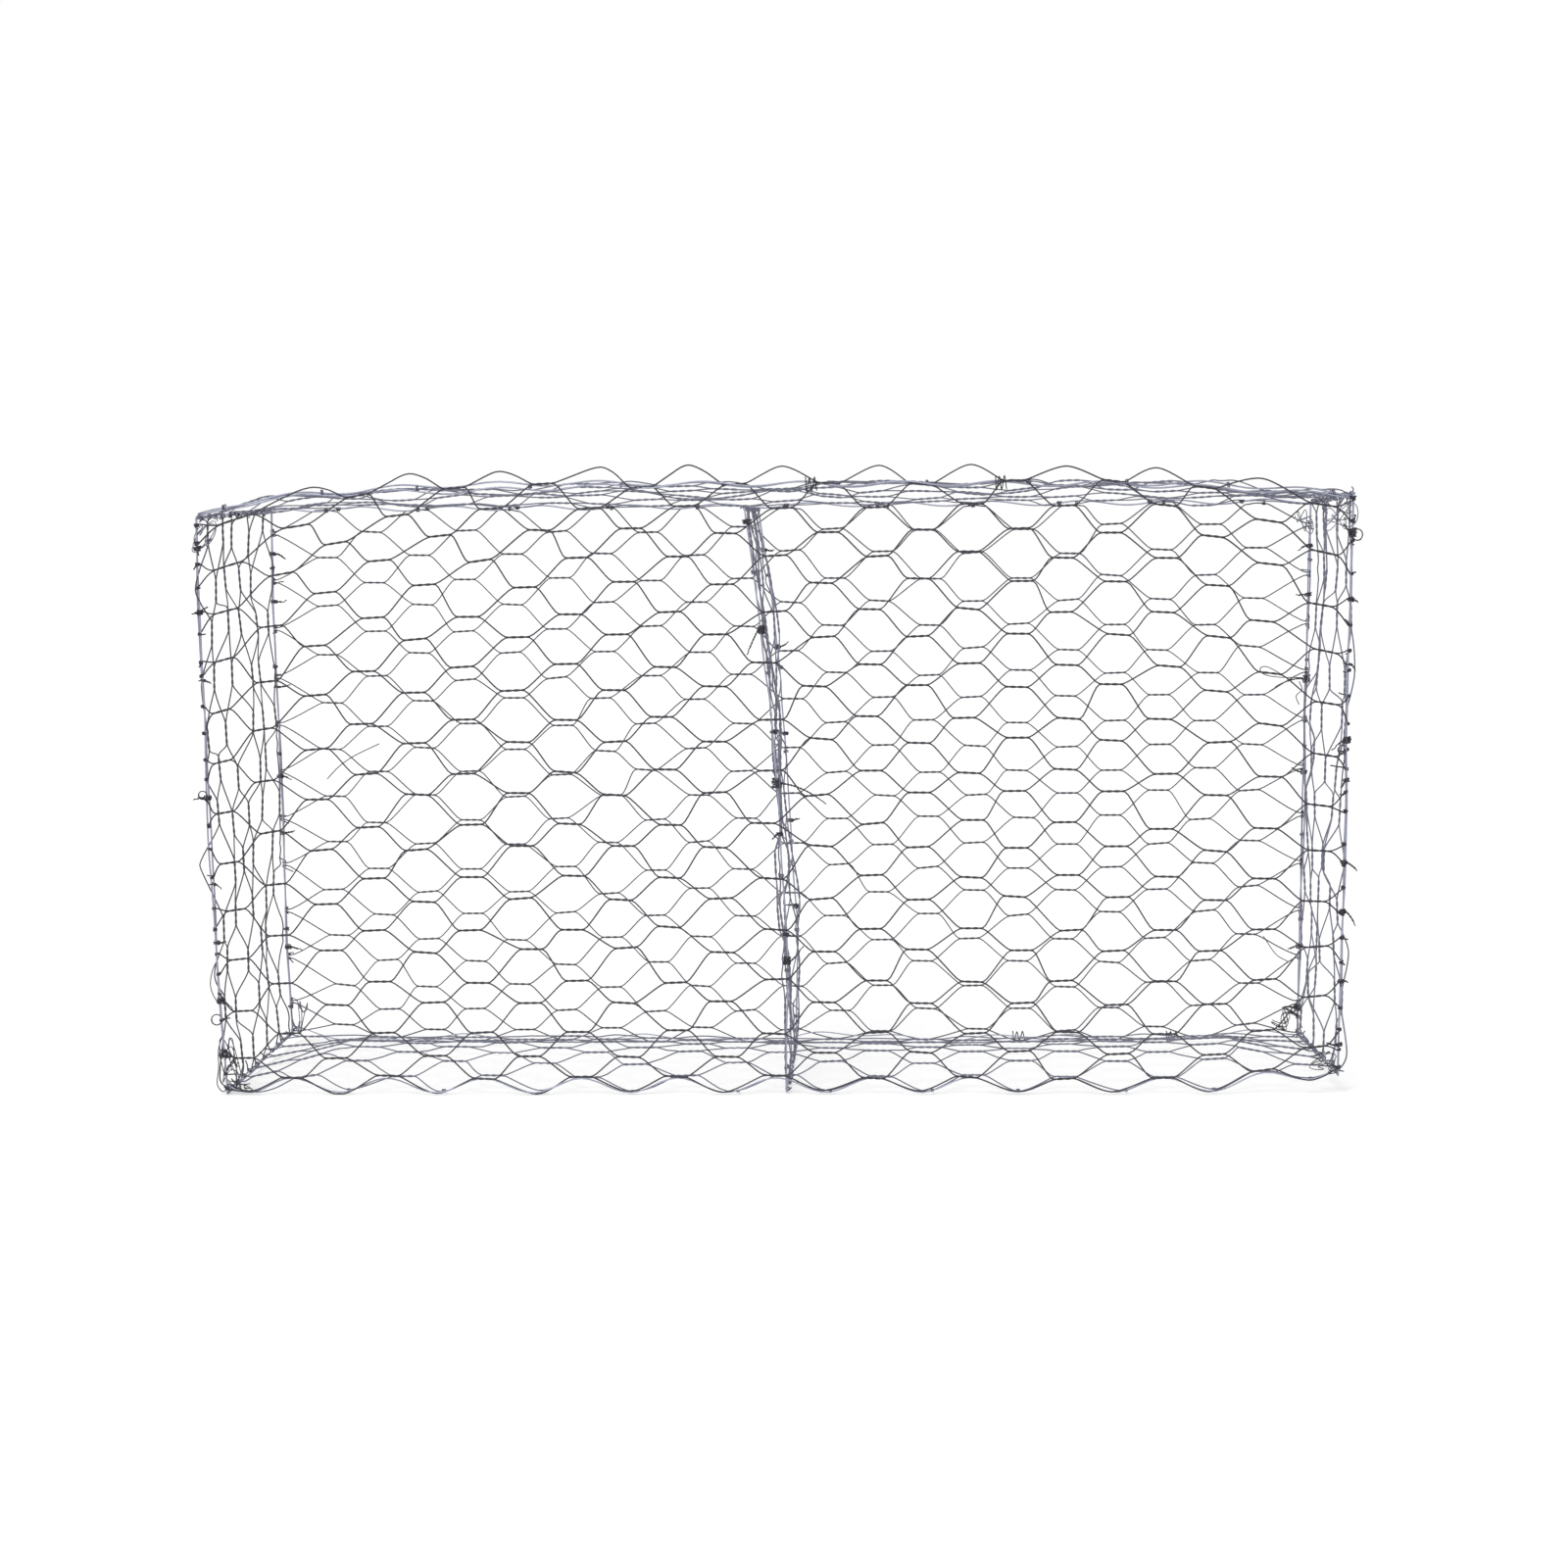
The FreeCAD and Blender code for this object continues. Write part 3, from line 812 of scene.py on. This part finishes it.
def on_corner(x, y, rows):
    """Ties on an upright corner, from rows of height, reach, turns, tail and tail's lead."""
    return [((x * SIDE, y * CORNER, row[0]), UP, *row[1:]) for row in rows]


def on_divider(y, rows):
    """Ties on an upright edge of the divider, from rows as above."""
    return [((divider_lean(row[0]), y * CORNER, row[0]), UP, *row[1:]) for row in rows]


tie_set(
    "left_front_ties",
    41,
    on_corner(-1, -1, [
        (0.867, 0.0056, 2.5, 0.014, (-0.4, -1, 0.3)),
        (0.535, 0.0060, 3.0, 0.018, (-1, -0.4, 0.2)),
        (0.170, 0.0062, 4.5, 0.022, (1, -0.6, -0.5)),
    ]),
    on_corner(-1, -1, [
        (0.985, 0.0058, 3.5, 0.020, (0.3, -1, -0.4)),
        (0.745, 0.0054, 1.5, 0.022, (1, -1, -0.2)),
        (0.380, 0.0054, 1.5, 0.020, (1, -1, 0.2)),
        (0.275, 0.0054, 2.5, 0.022, (1, -0.8, 0.1)),
        (0.070, 0.0056, 2.5, 0.024, (1, -0.8, 0.3)),
    ]),
    [
        ring((-1.0060, -0.2480, 0.540), (0, -1, 0), 0.0075, 1.3),
        ring((-1.0070, -0.2480, 0.136), (0, -1, 0.2), 0.0095, 1.4),
    ],
)
tie_set(
    "right_front_ties",
    42,
    on_corner(1, -1, [
        (0.867, 0.0056, 2.5, 0.012, (0.7, -1, -0.3)),
        (0.550, 0.0056, 2.5, 0.026, (-0.5, -1, -0.9)),
        (0.179, 0.0056, 2.5, 0.014, (0.7, -1, 0.5)),
    ]),
    on_corner(1, -1, [
        (0.980, 0.0066, 5.5, 0.030, (-0.8, -1, 0.9)),
        (0.755, 0.0054, 1.5, 0.012, (0.6, -1, -0.6)),
        (0.622, 0.0064, 4.5, 0.028, (-1, -0.5, -0.6)),
        (0.400, 0.0056, 3.0, 0.024, (1, -1, -0.5)),
        (0.310, 0.0056, 3.0, 0.026, (1, -1, -0.8)),
        (0.060, 0.0056, 2.5, 0.022, (-1, -0.5, 0.4)),
    ]),
    [
        ring((1.0060, -0.2490, 0.976), (0.2, -1, 0), 0.0095, 1.4),
        ring((0.9900, -0.2500, 0.605), (0, -1, 0.1), 0.0080, 1.3),
    ],
)
tie_set(
    "left_back_ties",
    43,
    on_corner(-1, 1, [
        (0.867, 0.0056, 2.5, 0.018, (1, 0.4, -0.2)),
        (0.523, 0.0056, 3.0, 0.016, (1, 0.2, -0.3)),
        (0.179, 0.0058, 3.5, 0.022, (1, 0.4, -0.4)),
    ]),
    on_corner(-1, 1, [
        (0.960, 0.0056, 2.5, 0.018, (1, 0.4, -0.2)),
        (0.700, 0.0054, 1.5, 0.020, (1, 0.3, 0.1)),
        (0.410, 0.0054, 1.5, 0.018, (1, 0.5, 0.1)),
    ]),
)
tie_set(
    "right_back_ties",
    44,
    on_corner(1, 1, [
        (0.867, 0.0056, 2.5, 0.018, (-1, 0.4, -0.2)),
        (0.523, 0.0056, 3.0, 0.018, (-1, 0.3, 0.3)),
        (0.179, 0.0058, 3.0, 0.018, (-1, 0.4, -0.5)),
    ]),
    on_corner(1, 1, [
        (0.960, 0.0056, 2.5, 0.016, (-1, 0.4, -0.2)),
        (0.705, 0.0066, 5.5, 0.062, (-1, 0.06, 0.04)),
        (0.055, 0.0064, 4.5, 0.026, (-1, 0.3, 0.4)),
    ]),
)
tie_set(
    "diaphragm_front_ties",
    45,
    on_divider(-1, [
        (0.827, 0.0064, 5.5, 0.045, (-0.5, -0.5, -1)),
        (0.647, 0.0058, 2.5, 0.016, (0.6, -1, 0.4)),
        (0.467, 0.0058, 2.5, 0.018, (-0.6, -1, -0.4)),
        (0.287, 0.0058, 2.5, 0.018, (0.6, -1, 0.2)),
    ]),
    on_divider(-1, [
        (1.015, 0.0060, 3.5, 0.020, (0.4, -1, 0.3)),
        (0.556, 0.0078, 6.5, 0.080, (1, -0.15, -0.1)),
        (0.240, 0.0064, 5.5, 0.034, (0.8, -0.4, 0.7)),
    ]),
)
tie_set(
    "diaphragm_back_ties",
    46,
    on_divider(1, [
        (0.774, 0.0058, 3.5, 0.020, (0.8, 0.6, 0.2)),
        (0.606, 0.0056, 2.5, 0.016, (-0.8, 0.6, -0.2)),
        (0.437, 0.0056, 2.5, 0.016, (0.8, 0.6, 0.4)),
        (0.269, 0.0058, 3.5, 0.020, (-0.8, 0.6, 0.3)),
    ]),
    on_divider(1, [(0.960, 0.0056, 2.5, 0.018, (0.8, 0.6, -0.3))]),
)


# Crumpled wire ends at the corners: name, middle, reach each way, loops and finish. A
# loop is drawn with LOOP_POINTS points.
TANGLES = [
    ("left_front_top_ends", (-0.986, -0.243, 1.006), (0.022, 0.008, 0.028), 5, "pale_mesh"),
    ("left_front_low_ends", (-0.988, -0.243, 0.055), (0.020, 0.010, 0.050), 6, "far_mesh"),
    ("left_front_foot_ends", (-0.976, -0.240, 0.012), (0.026, 0.010, 0.010), 4, "tie"),
    ("left_back_low_ends", (-0.980, 0.238, 0.040), (0.016, 0.008, 0.042), 5, "pale_mesh"),
    ("right_front_top_ends", (0.978, -0.243, 1.008), (0.030, 0.008, 0.024), 6, "pale_mesh"),
    ("right_front_low_ends", (0.976, -0.243, 0.028), (0.028, 0.010, 0.022), 5, "far_mesh"),
    ("right_back_low_ends", (0.972, 0.238, 0.036), (0.026, 0.008, 0.026), 6, "tie"),
    ("right_back_top_ends", (0.985, 0.238, 1.006), (0.018, 0.006, 0.024), 4, "pale_mesh"),
]
LOOP_POINTS = 14


def tangle(random, at, reach, loops):
    """A crumpled wire that winds about a point within its reach."""
    s = np.linspace(0, 1, LOOP_POINTS * loops)
    line = np.tile(np.array(at, float), (len(s), 1))
    for axis in range(3):
        for share, speed in ((0.6, 0.5), (0.4, 1.2)):
            turns = loops * speed * random.uniform(0.7, 1.3)
            wave = np.sin(TURN * turns * s + random.uniform(0, 6))
            line[:, axis] += reach[axis] * share * wave
    return line


crumpled = np.random.default_rng(61)
for name, at, reach, loops, finish in TANGLES:
    slot = "tie" if finish == "tie" else "mesh"
    wire = settled(tangle(crumpled, at, reach, loops))
    piece(name, "basket", slot, [(wire, CRUMPLED)], finish=finish)


# Loose ends inside the rear sheet, and two that bulge at the foot of the left front edge.
INSIDE = SHEET - 0.0055
LOOSE_ENDS = [
    [(-0.800, INSIDE, 0.590), (-0.850, INSIDE, 0.566), (-0.880, INSIDE - 0.004, 0.545),
     (-0.905, INSIDE, 0.520)],
    [(0.990, INSIDE, 0.707), (0.940, INSIDE, 0.709), (0.914, INSIDE - 0.006, 0.716),
     (0.908, INSIDE - 0.009, 0.727), (0.922, INSIDE - 0.006, 0.729), (0.950, INSIDE, 0.714)],
    [(0.975, INSIDE, 0.150), (0.950, INSIDE - 0.012, 0.168), (0.925, INSIDE - 0.010, 0.205)],
    [(0.985, INSIDE, 0.655), (0.978, INSIDE - 0.008, 0.672), (0.990, INSIDE, 0.684),
     (0.984, INSIDE, 0.700)],
    [(-0.998, -0.247, 0.245), (-1.008, -0.249, 0.226), (-1.014, -0.248, 0.200),
     (-1.010, -0.246, 0.178), (-0.998, -0.247, 0.160)],
    [(-0.998, -0.247, 0.112), (-1.008, -0.249, 0.082), (-1.011, -0.247, 0.048),
     (-1.016, -0.246, 0.018), (-1.005, -0.246, 0.005), (-0.993, -0.246, 0.022)],
]
loose_wires = [(settled(smooth(points)), LOOSE_END) for points in LOOSE_ENDS]
piece("loose_ends", "basket", "tie", loose_wires)


# Turns of mesh wire that hold the lid to the rear top wire. COIL_HALF is half their
# length, COIL_HALF_ANGLE about half the angle that they turn through.
COIL_TURNS = 2.4
COIL_HALF = 0.004
COIL_HALF_ANGLE = 7.5
COIL_POINTS = 26
COIL_SPREAD = 0.001


def coil(along):
    """Turns round the rear top wire, their middle at a place along it."""
    angle = np.linspace(0, TURN * COIL_TURNS, COIL_POINTS)
    reach = EDGE + MESH
    return np.stack(
        [
            along + COIL_HALF * (angle / COIL_HALF_ANGLE - 1),
            SHEET + reach * np.cos(angle),
            LID + reach * np.sin(angle),
        ],
        1,
    )


shifts = np.random.default_rng(51)
coils = [(coil(along + shifts.normal(0, COIL_SPREAD)), MESH) for along in LONG[1::2]]
piece("lid_hinge_turns", "lid", "mesh", coils, ["lid_hinge_loops"])


# Two clips on the lid's front edge and two on the rear bottom edge: their places along
# the length, and how wide and high they are. CLIP_DEPTH is how far they are from the
# middle of the depth, and CLIP_LEAD how their wire bows out between two corners.
LID_CLIPS = (0.060, 0.390)
LID_CLIP_SIZE = (0.020, 0.026)
LID_CLIP_SINK = 0.002
REAR_CLIPS = (0.443, 0.741)
REAR_CLIP_SIZE = (0.024, 0.020)
REAR_CLIP_HEIGHT = 0.012
CLIP_DEPTH = 0.2470
CLIP_LEAD = (0.004, -0.010, 0)
ZIGZAG = [(0, 0.5), (0.1, -0.5), (0.35, 0.45), (0.55, -0.45), (0.8, 0.5), (1, -0.4)]


def clip(x, y, z, wide, high):
    """A bent zigzag of lacing wire."""
    points = np.array([[x + wide * (a - 0.5), y, z + high * b] for a, b in ZIGZAG])
    line = [points[:1]]
    lead = np.array(CLIP_LEAD)
    for a, b in zip(points[:-1], points[1:]):
        line += [bend(a, b, lead, lead * [1, -1, 1], BEND_STEPS), b[None]]
    return np.vstack(line)


lid_clips = []
for x in LID_CLIPS:
    on_lid = LID + BOW * arch(x) - LID_CLIP_SINK
    lid_clips.append((clip(x, -CLIP_DEPTH, on_lid, *LID_CLIP_SIZE), LACE))
piece("lid_front_clips", "lid", "tie", lid_clips)
rear_clips = []
for x in REAR_CLIPS:
    rear_clips.append((clip(x, CLIP_DEPTH, REAR_CLIP_HEIGHT, *REAR_CLIP_SIZE), LACE))
piece("rear_bottom_clips", "basket", "tie", rear_clips)


# White floor and surround. The camera sees them white, the lamps stay plain.
SURROUND_LIGHT = 0.55
FLOOR_COLOUR = (0.8, 0.8, 0.8, 1)
FLOOR_GLOW = 0.42
FLOOR_REACH = 60.0
FLOOR_DROP = 0.0005
SUN_STRENGTH = 1.2
SUN_WIDTH = math.radians(25)
SUN_TURN = (math.radians(38), math.radians(-22), 0)


def seen_directly(tree):
    """A value that is 1 for what the camera sees, plainly, by reflection or through glass."""
    path = tree.nodes.new("ShaderNodeLightPath")
    both = tree.nodes.new("ShaderNodeMath")
    both.operation = "MAXIMUM"
    tree.links.new(path.outputs["Is Camera Ray"], both.inputs[0])
    tree.links.new(path.outputs["Is Glossy Ray"], both.inputs[1])
    all_three = tree.nodes.new("ShaderNodeMath")
    all_three.operation = "MAXIMUM"
    tree.links.new(both.outputs[0], all_three.inputs[0])
    tree.links.new(path.outputs["Is Transmission Ray"], all_three.inputs[1])
    return all_three.outputs[0]


def white_paint():
    """Matt floor paint that catches shadows and glows just enough to look white."""
    paint = bpy.data.materials.new("white_floor")
    paint.use_nodes = True
    tree = paint.node_tree
    matt = tree.nodes["Principled BSDF"]
    matt.inputs["Base Color"].default_value = FLOOR_COLOUR
    matt.inputs["Roughness"].default_value = 1.0
    matt.inputs["Specular IOR Level"].default_value = 0.0
    glow = tree.nodes.new("ShaderNodeEmission")
    glow.inputs["Color"].default_value = (1, 1, 1, 1)
    level = tree.nodes.new("ShaderNodeMath")
    level.operation = "MULTIPLY"
    level.inputs[1].default_value = FLOOR_GLOW
    tree.links.new(seen_directly(tree), level.inputs[0])
    tree.links.new(level.outputs[0], glow.inputs["Strength"])
    added = tree.nodes.new("ShaderNodeAddShader")
    tree.links.new(matt.outputs[0], added.inputs[0])
    tree.links.new(glow.outputs[0], added.inputs[1])
    tree.links.new(added.outputs[0], tree.nodes["Material Output"].inputs["Surface"])
    return paint


world = bpy.data.worlds.new("surround")
world.use_nodes = True
bpy.context.scene.world = world
ground = world.node_tree.nodes["Background"]
ground.inputs["Color"].default_value = (1, 1, 1, 1)
strength = world.node_tree.nodes.new("ShaderNodeMapRange")
strength.inputs["To Min"].default_value = SURROUND_LIGHT
strength.inputs["To Max"].default_value = 1.0
world.node_tree.links.new(seen_directly(world.node_tree), strength.inputs["Value"])
world.node_tree.links.new(strength.outputs["Result"], ground.inputs["Strength"])

floor_mesh = bpy.data.meshes.new("floor")
square = ((-1, -1), (1, -1), (1, 1), (-1, 1))
floor_corners = [(x * FLOOR_REACH, y * FLOOR_REACH, 0) for x, y in square]
floor_mesh.from_pydata(floor_corners, [], [(0, 1, 2, 3)])
floor_mesh.materials.append(white_paint())
floor = bpy.data.objects.new("floor", floor_mesh)
bpy.context.scene.collection.objects.link(floor)
floor.location.z = -FLOOR_DROP

sun = bpy.data.objects.new("sun", bpy.data.lights.new("sun", "SUN"))
sun.data.energy = SUN_STRENGTH
sun.data.angle = SUN_WIDTH
sun.rotation_euler = SUN_TURN
bpy.context.scene.collection.objects.link(sun)

bpy.context.scene.view_settings.view_transform = "Standard"
